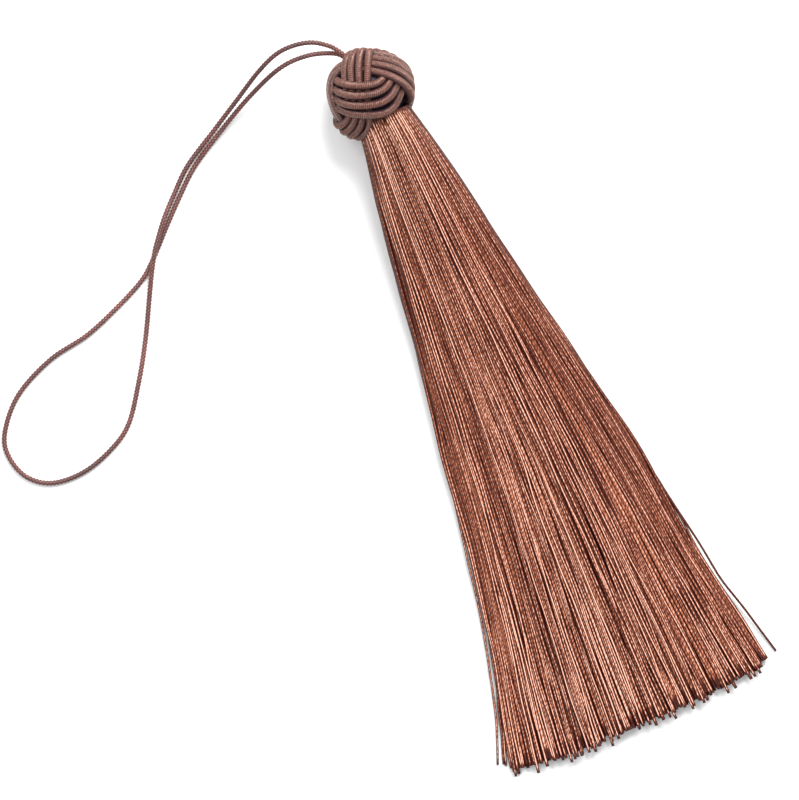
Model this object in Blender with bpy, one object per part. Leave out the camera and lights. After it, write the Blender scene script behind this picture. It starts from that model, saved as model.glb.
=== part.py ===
"""A silk tassel lying on a flat surface: a woven ball knot, a skirt of threads and a looped hanging cord.

The skirt runs from the ball towards -Y and the top of the ball faces +Y. The origin is under the middle
of the ball and skirt, on the surface. Lengths are in metres unless a name ends in MM.
"""

import math
import random

import bmesh
import bpy
import numpy as np
from mathutils import Vector

MM = 0.001
GAP = 0.3 * MM

# Ball knot: three strands woven with five bights round a core, each followed four times. The ball's centre
# is a little lower than its strands reach, so that they are flat where the ball rests.
BALL_TOP_REACH = 10.7 * MM
BALL_Z = 9.6 * MM
KNOT_CORD = 1.65 * MM
KNOT_LEADS = 3
KNOT_BIGHTS = 5
KNOT_PASSES = 4
KNOT_RADIUS = 9.2 * MM
PASS_ANGLE = math.radians(10.8)
BIGHT_LATITUDE = math.radians(43.0)
BIGHT_ROUNDING = math.radians(-1.8)
PASS_LEAN = 0.54
WEAVE_DEPTH = 0.9 * MM
KNOT_POLE = Vector((-0.24, 0.86, -0.45)).normalized()
KNOT_PHASE = 0.55
CORE_RADIUS = 8.7 * MM
BAND_FOOT_RADIUS = 7.4 * MM
BAND_STEPS = 10

# Skirt: reach is measured from the centre of the ball.
SKIRT_REACH = 155.0 * MM
NECK_REACH = 5.0 * MM
NECK_BEND_REACH = 13.0 * MM
HEAD_REACH = 20.0 * MM
STRAND_ROOT = 2.5 * MM
HEAD_MARGIN = 0.1 * MM
OUTER_STRANDS = 112
INNER_STRANDS = 88
STRAND_FILL = 0.66
LAYER_DEPTH = 1.1 * MM
UNEVEN_END = 2.0 * MM
EDGE_END_DROP = 3.2 * MM
STRAY_START = 118.0 * MM
SEED = 7

# Corners of a strand of unit size, across and up from the middle of its flat side.
STRAND_CORNERS = np.array(((-0.5, 0.0), (0.5, 0.0), (0.0, 1.0)))

# Hanging cord.
CORD_DIAMETER = 1.1 * MM
CORD_POINTS = 80
CORD_SOCKET_DEPTH = 3.0 * MM

# The route is laid out as it is seen from above, with the tassel turned on the surface.
VIEW_PIXEL = 0.225 * MM
VIEW_BALL_X = 371.0
VIEW_BALL_Y = 92.0
VIEW_TURN = math.radians(23.4)

BALL_Y = (SKIRT_REACH - BALL_TOP_REACH) / 2

# The outline of the skirt across its run: reach, half width, height of the middle, half height.
SKIRT_SECTIONS_MM = (
    (5.0, 6.2, 9.5, 6.2),
    (13.0, 7.7, 8.7, 6.2),
    (24.0, 9.5, 7.2, 5.6),
    (45.0, 13.0, 4.3, 4.6),
    (75.0, 18.2, 2.3, 3.8),
    (110.0, 24.2, 1.4, 3.2),
    (155.0, 31.8, 1.0, 2.7),
)

# Threads that stray from the skirt's edge: side, place down from the widest strand, sideways shift at the end.
STRAYS = (
    (-1, 0, 2.2),
    (-1, 2, 1.1),
    (1, 0, 2.2),
    (1, 2, 1.0),
)

# The cord's route from one end in the ball to the other: view x, view y, height in mm.
CORD_ROUTE = (
    (347.5, 58.0, 8.8),
    (338.0, 51.0, 9.2),
    (328.0, 46.0, 9.8),
    (312.0, 43.0, 10.6),
    (294.0, 46.0, 10.8),
    (276.0, 54.8, 10.0),
    (258.0, 72.5, 7.9),
    (238.5, 98.0, 4.9),
    (214.3, 130.0, 2.0),
    (188.0, 165.0, 0.8),
    (174.2, 194.0, 0.8),
    (164.4, 218.0, 1.5),
    (157.2, 242.0, 1.95),
    (153.8, 258.0, 2.0),
    (151.7, 274.0, 1.6),
    (149.8, 294.0, 0.8),
    (145.5, 340.0, 0.56),
    (139.0, 381.0, 0.56),
    (128.6, 424.0, 0.56),
    (110.0, 450.5, 0.56),
    (83.0, 472.5, 0.56),
    (52.0, 483.0, 0.56),
    (26.0, 476.5, 0.56),
    (8.5, 456.0, 0.56),
    (5.0, 432.0, 0.56),
    (18.4, 395.0, 0.56),
    (50.0, 360.0, 0.56),
    (88.0, 334.5, 0.56),
    (120.0, 304.5, 0.56),
    (140.4, 282.0, 0.56),
    (150.0, 266.0, 0.56),
    (157.0, 250.0, 0.56),
    (166.8, 226.0, 0.56),
    (179.0, 198.0, 0.56),
    (195.0, 166.0, 0.6),
    (221.8, 130.0, 1.7),
    (250.0, 96.4, 5.0),
    (280.0, 68.5, 8.2),
    (308.0, 56.0, 9.0),
    (334.0, 53.8, 8.0),
    (347.0, 58.6, 7.3),
)


def clear_scene():
    for item in list(bpy.data.objects):
        bpy.data.objects.remove(item, do_unlink=True)


def fabric(name, colour, roughness):
    material = bpy.data.materials.new(name)
    material.use_nodes = True
    shader = material.node_tree.nodes["Principled BSDF"]
    shader.inputs["Base Color"].default_value = (*colour, 1.0)
    shader.inputs["Roughness"].default_value = roughness
    shader.inputs["Metallic"].default_value = 0.0
    return material


def mesh_object(name, points, faces, material=None):
    mesh = bpy.data.meshes.new(name)
    mesh.from_pydata([tuple(point) for point in points], [], faces)
    tidy = bmesh.new()
    tidy.from_mesh(mesh)
    bmesh.ops.recalc_face_normals(tidy, faces=tidy.faces)
    tidy.to_mesh(mesh)
    tidy.free()
    if material:
        mesh.materials.append(material)
    item = bpy.data.objects.new(name, mesh)
    bpy.context.collection.objects.link(item)
    return item


def as_helper(item):
    item.hide_render = True
    item.display_type = "WIRE"
    return item


def combine(target, helper, operation):
    modifier = target.modifiers.new(helper.name, "BOOLEAN")
    modifier.operation = operation
    modifier.solver = "EXACT"
    modifier.object = as_helper(helper)


def grid_faces(rows, columns):
    """Quads of a closed slab whose top and bottom layers are grids of rows by columns points."""
    layer = rows * columns
    faces = []
    for row in range(rows - 1):
        for column in range(columns - 1):
            here = row * columns + column
            quad = (here, here + 1, here + columns + 1, here + columns)
            faces.append(quad)
            faces.append(tuple(layer + index for index in reversed(quad)))
    rim = [column for column in range(columns)]
    rim += [row * columns + columns - 1 for row in range(1, rows)]
    rim += [(rows - 1) * columns + column for column in range(columns - 2, -1, -1)]
    rim += [row * columns for row in range(rows - 2, 0, -1)]
    for index, here in enumerate(rim):
        ahead = rim[(index + 1) % len(rim)]
        faces.append((here, layer + here, layer + ahead, ahead))
    return faces


def tube_between(name, start, end, radius, sides=24):
    """A round bar from one point to another."""
    along = (end - start).normalized()
    across = along.orthogonal().normalized()
    upright = along.cross(across)
    points = []
    for centre in (start, end):
        for side in range(sides):
            angle = 2 * math.pi * side / sides
            points.append(centre + radius * (math.cos(angle) * across + math.sin(angle) * upright))
    faces = [tuple(range(sides)), tuple(range(sides, 2 * sides))]
    for side in range(sides):
        ahead = (side + 1) % sides
        faces.append((side, ahead, sides + ahead, sides + side))
    return mesh_object(name, points, faces)


# Ball knot


def knot_direction(phase, shift):
    """Direction from the ball's centre of a strand that runs a shift to the left of its band's middle."""
    east = KNOT_POLE.cross(Vector((0, 0, 1))).normalized()
    north_east = KNOT_POLE.cross(east)
    latitude = BIGHT_LATITUDE * math.cos(phase) + BIGHT_ROUNDING * math.cos(3 * phase) + shift
    turn = phase * KNOT_LEADS / KNOT_BIGHTS + KNOT_PHASE + shift * PASS_LEAN * math.sin(phase)
    level = math.cos(turn) * east + math.sin(turn) * north_east
    return math.cos(latitude) * level + math.sin(latitude) * KNOT_POLE


def band_profile():
    """Columns across a band of four round strands: shift from its middle, height above the strands' middle."""
    columns = []
    for strand in range(KNOT_PASSES):
        middle = (strand - (KNOT_PASSES - 1) / 2) * PASS_ANGLE
        for place, height in ((-0.5, 0.2), (-0.2, 0.92), (0.2, 0.92)):
            columns.append((middle + place * PASS_ANGLE, height * KNOT_CORD / 2))
    columns.append((KNOT_PASSES / 2 * PASS_ANGLE, 0.2 * KNOT_CORD / 2))
    return columns


def knot_band(index):
    """One stretch of a band, which rises over a crossing and runs round its bight to the next dive."""
    profile = band_profile()
    top = []
    foot = []
    for step in range(BAND_STEPS + 1):
        phase = math.pi * (index + 1 / 3 + step / BAND_STEPS)
        rise = -WEAVE_DEPTH * math.sin(2 * phase)
        for shift, height in profile:
            direction = knot_direction(phase, shift)
            top.append((KNOT_RADIUS + rise + height) * direction)
            foot.append(BAND_FOOT_RADIUS * direction)
    faces = grid_faces(BAND_STEPS + 1, len(profile))
    return mesh_object(f"band_{index}", top + foot, faces)


def ball_knot(material, cord_points):
    shape = bmesh.new()
    bmesh.ops.create_uvsphere(shape, u_segments=28, v_segments=18, radius=CORE_RADIUS)
    mesh = bpy.data.meshes.new("ball_knot")
    shape.to_mesh(mesh)
    shape.free()
    mesh.materials.append(material)
    ball = bpy.data.objects.new("ball_knot", mesh)
    bpy.context.collection.objects.link(ball)
    centre = Vector((0, BALL_Y, BALL_Z))
    ball.location = centre
    for index in range(2 * KNOT_BIGHTS):
        band = knot_band(index)
        band.location = centre
        combine(ball, band, "UNION")

    combine(ball, neck_socket(), "DIFFERENCE")

    for name, end, ahead in (
        ("first_cord_hole", cord_points[0], cord_points[1]),
        ("last_cord_hole", cord_points[-1], cord_points[-2]),
    ):
        outward = (ahead - end).normalized()
        hole = tube_between(name, end - GAP * outward, end + CORD_SOCKET_DEPTH * outward, CORD_DIAMETER / 2 + GAP)
        combine(ball, hole, "DIFFERENCE")

    floor = bmesh.new()
    bmesh.ops.create_cube(floor, size=4 * BALL_TOP_REACH)
    bmesh.ops.translate(floor, vec=(0, BALL_Y, -2 * BALL_TOP_REACH), verts=floor.verts)
    floor_mesh = bpy.data.meshes.new("flat_spot")
    floor.to_mesh(floor_mesh)
    floor.free()
    flat_spot = bpy.data.objects.new("flat_spot", floor_mesh)
    bpy.context.collection.objects.link(flat_spot)
    combine(ball, flat_spot, "DIFFERENCE")
    return ball


# Skirt


def skirt_section(reach):
    """Half width, height of the middle and half height of the skirt's outline at a reach."""
    table = np.array(SKIRT_SECTIONS_MM) * MM
    return [np.interp(reach, table[:, 0], table[:, column]) for column in (1, 2, 3)]


def skirt_loop(reach, count, inset, floor, first=0.5):
    """Equally spaced points round the skirt's outline at a reach: x and height of each, from the lowest on."""
    half_width, middle, half_height = skirt_section(reach)
    angle = np.linspace(-math.pi / 2, 3 * math.pi / 2, 721)
    x = (half_width - inset) * np.cos(angle)
    z = np.maximum(middle + (half_height - inset) * np.sin(angle), floor)
    run = np.concatenate([[0], np.cumsum(np.hypot(np.diff(x), np.diff(z)))])
    places = (np.arange(count) + first) / count * run[-1]
    return np.interp(places, run, x), np.interp(places, run, z), run[-1] / count


def strand(path, sizes):
    """Points and faces of a three-sided strand with its flat side down, level at each point of its path."""
    points = []
    for (x, y, z), size in zip(path, sizes):
        points += [(x + side, y, z + rise) for side, rise in STRAND_CORNERS * size]
    faces = [(0, 1, 2)]
    for row in range(len(path) - 1):
        base = 3 * row
        for side in range(3):
            ahead = (side + 1) % 3
            faces.append((base + side, base + ahead, base + 3 + ahead, base + 3 + side))
    last = 3 * (len(path) - 1)
    faces.append((last, last + 1, last + 2))
    return points, faces


def stray_shift(loop_x, index):
    """Sideways shift at the end of a strand that strays from the skirt's edge."""
    for side, place, shift_mm in STRAYS:
        order = np.argsort(-side * loop_x, kind="stable")
        if order[place] == index:
            return side * shift_mm * MM
    return 0.0


def skirt_strands():
    """Points and faces of both layers of strands."""
    uneven = random.Random(SEED)
    root_reach = HEAD_REACH - STRAND_ROOT
    bends = [root_reach] + [row[0] * MM for row in SKIRT_SECTIONS_MM if row[0] * MM > HEAD_REACH]
    bends.insert(-1, STRAY_START)
    all_points = []
    all_faces = []
    for count, inset, floor in ((OUTER_STRANDS, 0.0, 0.0), (INNER_STRANDS, LAYER_DEPTH, LAYER_DEPTH)):
        loops = [skirt_loop(reach, count, inset, floor) for reach in bends]
        for index in range(count):
            edge = abs(loops[-1][0][index]) / (SKIRT_SECTIONS_MM[-1][1] * MM)
            end_reach = SKIRT_REACH - EDGE_END_DROP * edge**4 - UNEVEN_END * uneven.random() ** 2
            share = (end_reach - bends[-2]) / (bends[-1] - bends[-2])
            path = []
            sizes = []
            for row, reach in enumerate(bends):
                x, z, pitch = loops[row][0][index], loops[row][1][index], loops[row][2]
                if row == len(bends) - 1:
                    x_before, z_before = loops[row - 1][0][index], loops[row - 1][1][index]
                    x = x_before + share * (x - x_before)
                    z = z_before + share * (z - z_before)
                    if inset == 0:
                        x += stray_shift(loops[-1][0], index)
                    reach = end_reach
                path.append((x, BALL_Y - reach, z))
                sizes.append(STRAND_FILL * pitch)
            points, faces = strand(path, sizes)
            all_faces += [tuple(len(all_points) + corner for corner in face) for face in faces]
            all_points += points
    return all_points, all_faces


def head_ring(reach):
    """Points round the head at a reach: in turn the outermost corner of a strand and the valley before it."""
    y = BALL_Y - reach
    middle = skirt_section(reach)[1]
    crest_x, crest_z, pitch = skirt_loop(reach, OUTER_STRANDS, 0.0, 0.0)
    valley_x, valley_z, _ = skirt_loop(reach, OUTER_STRANDS, 0.0, 0.0, first=0.0)
    size = STRAND_FILL * pitch
    ring = []
    for index in range(OUTER_STRANDS):
        valley = Vector((valley_x[index], valley_z[index] - middle))
        valley += HEAD_MARGIN * valley.normalized()
        outward = Vector((crest_x[index], crest_z[index] - middle)).normalized()
        corners = [Vector((crest_x[index] + x, crest_z[index] - middle + z)) for x, z in STRAND_CORNERS * size]
        crest = max(corners, key=outward.dot) + HEAD_MARGIN * outward
        ring += [(point.x, y, middle + point.y) for point in (valley, crest)]
    return ring


def loft_faces(rings, around):
    """Faces of a closed body through rings that have the same number of points."""
    faces = [tuple(range(around))]
    for base in range(0, (rings - 1) * around, around):
        for place in range(around):
            ahead = (place + 1) % around
            faces.append((base + place, base + ahead, base + around + ahead, base + around + place))
    faces.append(tuple(range((rings - 1) * around, rings * around)))
    return faces


def neck_socket():
    """The hollow in the ball that the neck sits in, wider than the neck by the gap."""
    around = 48
    points = []
    for reach in (NECK_REACH - GAP, NECK_BEND_REACH, HEAD_REACH):
        pitch = skirt_loop(reach, OUTER_STRANDS, 0.0, 0.0)[2]
        clearance = STRAND_FILL * pitch + HEAD_MARGIN + GAP
        x, z, _ = skirt_loop(reach, around, -clearance, 0.0)
        points += [(x[place], BALL_Y - reach, z[place]) for place in range(around)]
    return mesh_object("neck_socket", points, loft_faces(3, around))


def skirt_head():
    """The ridged neck that the strands grow from, round in the ball and a little flatter where they leave it."""
    points = []
    for reach in (NECK_REACH, NECK_BEND_REACH, HEAD_REACH):
        points += head_ring(reach)
    return points, loft_faces(3, 2 * OUTER_STRANDS)


def skirt(material):
    head = mesh_object("skirt", *skirt_head(), material)
    combine(head, mesh_object("strands", *skirt_strands()), "UNION")
    return head


# Hanging cord


def from_view(view_x, view_y, height_mm):
    """A point given as it is seen from above, in the tassel's own frame."""
    right = (view_x - VIEW_BALL_X) * VIEW_PIXEL
    up = (VIEW_BALL_Y - view_y) * VIEW_PIXEL
    x = math.cos(VIEW_TURN) * right + math.sin(VIEW_TURN) * up
    y = -math.sin(VIEW_TURN) * right + math.cos(VIEW_TURN) * up
    return Vector((x, BALL_Y + y, height_mm * MM))


def smooth_route(route, count):
    """Points at equal distances along a smooth curve through the route, never under the surface."""
    stops = np.array([from_view(*stop) for stop in route])
    stops = np.vstack([2 * stops[0] - stops[1], stops, 2 * stops[-1] - stops[-2]])
    fine = []
    for before, start, end, after in zip(stops, stops[1:], stops[2:], stops[3:]):
        for part in np.arange(0, 1, 0.05):
            bend = 2 * start + (end - before) * part
            bend = bend + (2 * before - 5 * start + 4 * end - after) * part**2
            bend = bend + (3 * start - before - 3 * end + after) * part**3
            fine.append(bend / 2)
    fine.append(stops[-2])
    fine = np.array(fine)
    fine[:, 2] = np.maximum(fine[:, 2], CORD_DIAMETER / 2 + 0.01 * MM)
    run = np.concatenate([[0], np.cumsum(np.linalg.norm(np.diff(fine, axis=0), axis=1))])
    places = np.linspace(0, run[-1], count)
    return [Vector([np.interp(place, run, fine[:, axis]) for axis in range(3)]) for place in places]


def hanging_cord(material, points):
    curve = bpy.data.curves.new("hanging_cord", "CURVE")
    curve.dimensions = "3D"
    curve.bevel_depth = CORD_DIAMETER / 2
    curve.bevel_resolution = 2
    curve.use_fill_caps = True
    spline = curve.splines.new("POLY")
    spline.points.add(len(points) - 1)
    for place, point in zip(spline.points, points):
        place.co = (*point, 1.0)
    curve.materials.append(material)
    cord = bpy.data.objects.new("hanging_cord", curve)
    bpy.context.collection.objects.link(cord)
    return cord


def main():
    clear_scene()
    cord_points = smooth_route(CORD_ROUTE, CORD_POINTS)
    ball_knot(fabric("knot cord", (0.22, 0.11, 0.09), 0.6), cord_points)
    skirt(fabric("skirt thread", (0.35, 0.135, 0.09), 0.5))
    hanging_cord(fabric("hanging cord", (0.24, 0.11, 0.09), 0.6), cord_points)


main()
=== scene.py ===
import math
import random

import bmesh
import bpy
import numpy as np
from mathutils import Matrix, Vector


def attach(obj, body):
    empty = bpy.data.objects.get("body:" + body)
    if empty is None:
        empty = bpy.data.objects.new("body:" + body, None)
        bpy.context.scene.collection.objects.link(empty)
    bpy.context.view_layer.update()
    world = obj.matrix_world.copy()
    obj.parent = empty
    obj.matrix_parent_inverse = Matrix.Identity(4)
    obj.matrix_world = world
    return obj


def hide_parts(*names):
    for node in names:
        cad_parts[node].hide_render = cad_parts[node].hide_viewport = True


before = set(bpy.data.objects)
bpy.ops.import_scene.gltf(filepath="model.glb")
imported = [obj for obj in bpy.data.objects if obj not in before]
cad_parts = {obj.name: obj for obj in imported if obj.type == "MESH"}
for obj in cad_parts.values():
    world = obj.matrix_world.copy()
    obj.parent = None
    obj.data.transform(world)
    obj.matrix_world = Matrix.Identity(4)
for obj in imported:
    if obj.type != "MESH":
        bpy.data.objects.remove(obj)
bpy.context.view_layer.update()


# ---------------------------------------------------------------------------------------------------
# The table and its light. The tassel lies on a pale board and is seen from straight above, turned a
# little. One large soft lamp stands past the ball, a weaker one stands to the left, and the room is
# bright all round.
# ---------------------------------------------------------------------------------------------------
MM = 0.001
VIEW_PIXEL = 0.225 * MM
VIEW_WIDTH = 799
VIEW_HEIGHT = 800
VIEW_BALL_X = 371.0
VIEW_BALL_Y = 92.0
VIEW_TURN = math.radians(23.4)
BALL_Y = 72.15 * MM
CAMERA_HEIGHT = 8.0
CAMERA_NEAR = 0.1
CAMERA_FAR = 20.0
SENSOR_WIDTH_MM = 36.0
ROOM_COLOUR = (0.98, 0.99, 1.0, 1.0)
ROOM_LIGHT = 0.85


def from_view(view_x, view_y, height_mm):
    """A point given as it is seen from above, in the tassel's own frame."""
    right = (view_x - VIEW_BALL_X) * VIEW_PIXEL
    up = (VIEW_BALL_Y - view_y) * VIEW_PIXEL
    x = math.cos(VIEW_TURN) * right + math.sin(VIEW_TURN) * up
    y = -math.sin(VIEW_TURN) * right + math.cos(VIEW_TURN) * up
    return Vector((x, BALL_Y + y, height_mm * MM))


view_middle = from_view(VIEW_WIDTH / 2, VIEW_HEIGHT / 2, 0.0)
camera_data = bpy.data.cameras.new("camera")
camera_data.sensor_width = SENSOR_WIDTH_MM
camera_data.lens = SENSOR_WIDTH_MM * CAMERA_HEIGHT / (VIEW_HEIGHT * VIEW_PIXEL)
camera_data.clip_start = CAMERA_NEAR
camera_data.clip_end = CAMERA_FAR
camera = bpy.data.objects.new("camera", camera_data)
camera.location = view_middle + Vector((0, 0, CAMERA_HEIGHT))
camera.rotation_euler = (0, 0, -VIEW_TURN)
bpy.context.collection.objects.link(camera)
bpy.context.scene.camera = camera
bpy.context.scene.view_settings.view_transform = "Standard"


def soft_lamp(name, right, up, height, size, power, colour):
    """A round lamp placed as seen from above, in metres from the middle of the view, facing it."""
    lamp = bpy.data.lights.new(name, "AREA")
    lamp.shape = "DISK"
    lamp.size = size
    lamp.energy = power
    lamp.color = colour
    stand = bpy.data.objects.new(name, lamp)
    view_x = VIEW_WIDTH / 2 + right / VIEW_PIXEL
    view_y = VIEW_HEIGHT / 2 - up / VIEW_PIXEL
    stand.location = from_view(view_x, view_y, height / MM)
    stand.rotation_euler = (view_middle - stand.location).to_track_quat("-Z", "Y").to_euler()
    stand.visible_camera = False
    bpy.context.collection.objects.link(stand)


soft_lamp("far lamp", right=0.42, up=1.30, height=1.36, size=1.15, power=54.0, colour=(1.0, 0.985, 0.965))
soft_lamp("left lamp", right=-0.75, up=0.55, height=1.50, size=0.90, power=10.0, colour=(0.97, 0.985, 1.0))

room = bpy.data.worlds.new("bright room")
room.use_nodes = True
room.node_tree.nodes["Background"].inputs["Color"].default_value = ROOM_COLOUR
room.node_tree.nodes["Background"].inputs["Strength"].default_value = ROOM_LIGHT
bpy.context.scene.world = room


def place(tree, kind, sockets=None, **settings):
    """A node of that kind in the tree, with its settings, and its sockets given a value or a link."""
    node = tree.nodes.new(kind)
    for name, value in settings.items():
        setattr(node, name, value)
    for name, value in (sockets or {}).items():
        if isinstance(value, bpy.types.NodeSocket):
            tree.links.new(value, node.inputs[name])
        else:
            node.inputs[name].default_value = value
    return node


def sum_of(tree, operation, *values):
    """The result of one Math node."""
    return place(tree, "ShaderNodeMath", dict(enumerate(values)), operation=operation).outputs[0]


def noise_of(tree, where, scale, detail):
    """A smooth random value from 0 to 1 at each place."""
    sockets = {"Vector": where, "Scale": scale, "Detail": detail}
    return place(tree, "ShaderNodeTexNoise", sockets).outputs["Fac"]


def finish_named(name):
    """A new node material, with its tree and its shader."""
    material = bpy.data.materials.new(name)
    material.use_nodes = True
    return material, material.node_tree, material.node_tree.nodes["Principled BSDF"]


def coloured(tree, shader, factor, steps):
    """Gives the shader the colour of a ramp with these (place, colour) steps."""
    ramp = place(tree, "ShaderNodeValToRGB", {0: factor})
    while len(ramp.color_ramp.elements) < len(steps):
        ramp.color_ramp.elements.new(0.5)
    for element, (at, colour) in zip(ramp.color_ramp.elements, steps):
        element.position = at
        element.color = (*colour, 1.0)
    tree.links.new(ramp.outputs["Color"], shader.inputs["Base Color"])


def all_over(shader, values):
    """Sets the shader's own sockets to values that are the same all over the surface."""
    for name, value in values.items():
        shader.inputs[name].default_value = value


def made_piece(name, shape, finish):
    """A piece with the mesh that was built as a shape, and its finish."""
    mesh = bpy.data.meshes.new(name)
    shape.to_mesh(mesh)
    shape.free()
    mesh.materials.append(finish)
    piece = bpy.data.objects.new(name, mesh)
    bpy.context.collection.objects.link(piece)
    return piece


BOARD_REACH = 3.0
BOARD_MOTTLE_SCALE = 14.0
BOARD_TONES = ((0.3, (0.86, 0.86, 0.86)), (0.7, (0.88, 0.88, 0.875)))

board_finish, tree, shader = finish_named("pale board")
spot = place(tree, "ShaderNodeTexCoord").outputs["Object"]
mottle = noise_of(tree, spot, BOARD_MOTTLE_SCALE, detail=3.0)
coloured(tree, shader, mottle, BOARD_TONES)
all_over(shader, {"Roughness": 0.75, "Specular IOR Level": 0.2})

board_shape = bmesh.new()
bmesh.ops.create_grid(board_shape, x_segments=4, y_segments=4, size=BOARD_REACH)
board = made_piece("board", board_shape, board_finish)


# ---------------------------------------------------------------------------------------------------
# Hanging cord. A thin round braid of satin yarn, eight strands worked over and under. It leaves the top
# of the ball, makes one long loop on the table, crosses itself about halfway and goes back in.
# ---------------------------------------------------------------------------------------------------
CORD_DIAMETER = 1.1 * MM
CORD_REST = 0.01 * MM
CORD_RING = 0.13 * MM
CORD_SIDES = 16
BRAID_REPEAT = 0.8 * MM
BRAID_STRANDS_EACH_WAY = 4.0
BRAID_RELIEF = 0.15 * MM
BRAID_RADIUS = (CORD_DIAMETER + BRAID_RELIEF) / 2
ROUTE_PART = 0.05

# The cord's route from one end in the ball to the other: view x, view y, height in mm.
CORD_ROUTE = (
    (347.5, 58.0, 8.8), (338.0, 51.0, 9.2), (328.0, 46.0, 9.8), (312.0, 43.0, 10.6), (294.0, 46.0, 10.8),
    (276.0, 54.8, 10.0), (258.0, 72.5, 7.9), (238.5, 98.0, 4.9), (214.3, 130.0, 2.0), (188.0, 165.0, 0.8),
    (174.2, 194.0, 0.8), (164.4, 218.0, 1.5), (157.2, 242.0, 1.95), (153.8, 258.0, 2.0), (151.7, 274.0, 1.6),
    (149.8, 294.0, 0.8), (145.5, 340.0, 0.56), (139.0, 381.0, 0.56), (128.6, 424.0, 0.56),
    (110.0, 450.5, 0.56), (83.0, 472.5, 0.56), (52.0, 483.0, 0.56), (26.0, 476.5, 0.56), (8.5, 456.0, 0.56),
    (5.0, 432.0, 0.56), (18.4, 395.0, 0.56), (50.0, 360.0, 0.56), (88.0, 334.5, 0.56), (120.0, 304.5, 0.56),
    (140.4, 282.0, 0.56), (150.0, 266.0, 0.56), (157.0, 250.0, 0.56), (166.8, 226.0, 0.56),
    (179.0, 198.0, 0.56), (195.0, 166.0, 0.6), (221.8, 130.0, 1.7), (250.0, 96.4, 5.0), (280.0, 68.5, 8.2),
    (308.0, 56.0, 9.0), (334.0, 53.8, 8.0), (347.0, 58.6, 7.3),
)


def smooth_route(route):
    """Points close together on a smooth curve through the route, never under the surface."""
    stops = np.array([from_view(*stop) for stop in route])
    stops = np.vstack([2 * stops[0] - stops[1], stops, 2 * stops[-1] - stops[-2]])
    fine = []
    for before, start, end, after in zip(stops, stops[1:], stops[2:], stops[3:]):
        for part in np.arange(0, 1, ROUTE_PART):
            bend = 2 * start + (end - before) * part
            bend = bend + (2 * before - 5 * start + 4 * end - after) * part**2
            bend = bend + (3 * start - before - 3 * end + after) * part**3
            fine.append(bend / 2)
    fine.append(stops[-2])
    fine = np.array(fine)
    fine[:, 2] = np.maximum(fine[:, 2], BRAID_RADIUS + CORD_REST)
    return fine


def guide_lines(name, lines, closed=False, **marks):
    """A mesh of bare edges along each line. A mark has a value for every line, or for every point of it."""
    points = np.vstack(lines)
    edges = []
    base = 0
    for line in lines:
        edges += [(base + step, base + step + 1) for step in range(len(line) - 1)]
        if closed:
            edges.append((base + len(line) - 1, base))
        base += len(line)
    mesh = bpy.data.meshes.new(name)
    mesh.from_pydata(points.tolist(), edges, [])
    for mark, values in marks.items():
        if np.ndim(values[0]) == 0:
            values = [np.full(len(line), value) for line, value in zip(lines, values)]
        spread = np.concatenate(values).astype(float)
        mesh.attributes.new(mark, "FLOAT", "POINT").data.foreach_set("value", spread)
    guide = bpy.data.objects.new(name, mesh)
    bpy.context.collection.objects.link(guide)
    return guide


def started_tree(name, sizes):
    """A Geometry Nodes tree with a geometry socket and these named inputs, and its input node's sockets."""
    tree = bpy.data.node_groups.new(name, "GeometryNodeTree")
    tree.interface.new_socket("Geometry", in_out="OUTPUT", socket_type="NodeSocketGeometry")
    tree.interface.new_socket("Guides", in_out="INPUT", socket_type="NodeSocketGeometry")
    for title, kind in sizes.items():
        tree.interface.new_socket(title, in_out="INPUT", socket_type="NodeSocket" + kind)
    return tree, place(tree, "NodeGroupInput").outputs


def ended_tree(tree, geometry, material):
    """Closes a tree: the instances are made real and the material is set."""
    real = place(tree, "GeometryNodeRealizeInstances", {"Geometry": geometry}).outputs[0]
    smooth = place(tree, "GeometryNodeSetShadeSmooth", {"Geometry": real}).outputs[0]
    painted = place(tree, "GeometryNodeSetMaterial", {"Geometry": smooth, "Material": material}).outputs[0]
    place(tree, "NodeGroupOutput", {"Geometry": painted})


def grown(name, guide, tree, sizes):
    """The plain mesh that the tree makes on the guide lines, which are then taken away."""
    modifier = guide.modifiers.new(tree.name, "NODES")
    modifier.node_group = tree
    for item in tree.interface.items_tree:
        if item.in_out == "INPUT" and item.name in sizes:
            modifier[item.identifier] = sizes[item.name]
    graph = bpy.context.evaluated_depsgraph_get()
    mesh = bpy.data.meshes.new_from_object(guide.evaluated_get(graph), depsgraph=graph)
    mesh.name = name
    guide_mesh = guide.data
    bpy.data.objects.remove(guide, do_unlink=True)
    bpy.data.meshes.remove(guide_mesh)
    piece = bpy.data.objects.new(name, mesh)
    bpy.context.collection.objects.link(piece)
    return piece


def stored(tree, geometry, name, value):
    """The geometry with a value kept on each of its points under that name."""
    sockets = {"Geometry": geometry, "Name": name, "Value": value}
    node = place(tree, "GeometryNodeStoreNamedAttribute", sockets, data_type="FLOAT", domain="POINT")
    return node.outputs[0]


def kept(tree, name):
    """The value kept on the geometry under that name."""
    node = place(tree, "GeometryNodeInputNamedAttribute", {"Name": name}, data_type="FLOAT")
    return node.outputs["Attribute"]


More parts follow.
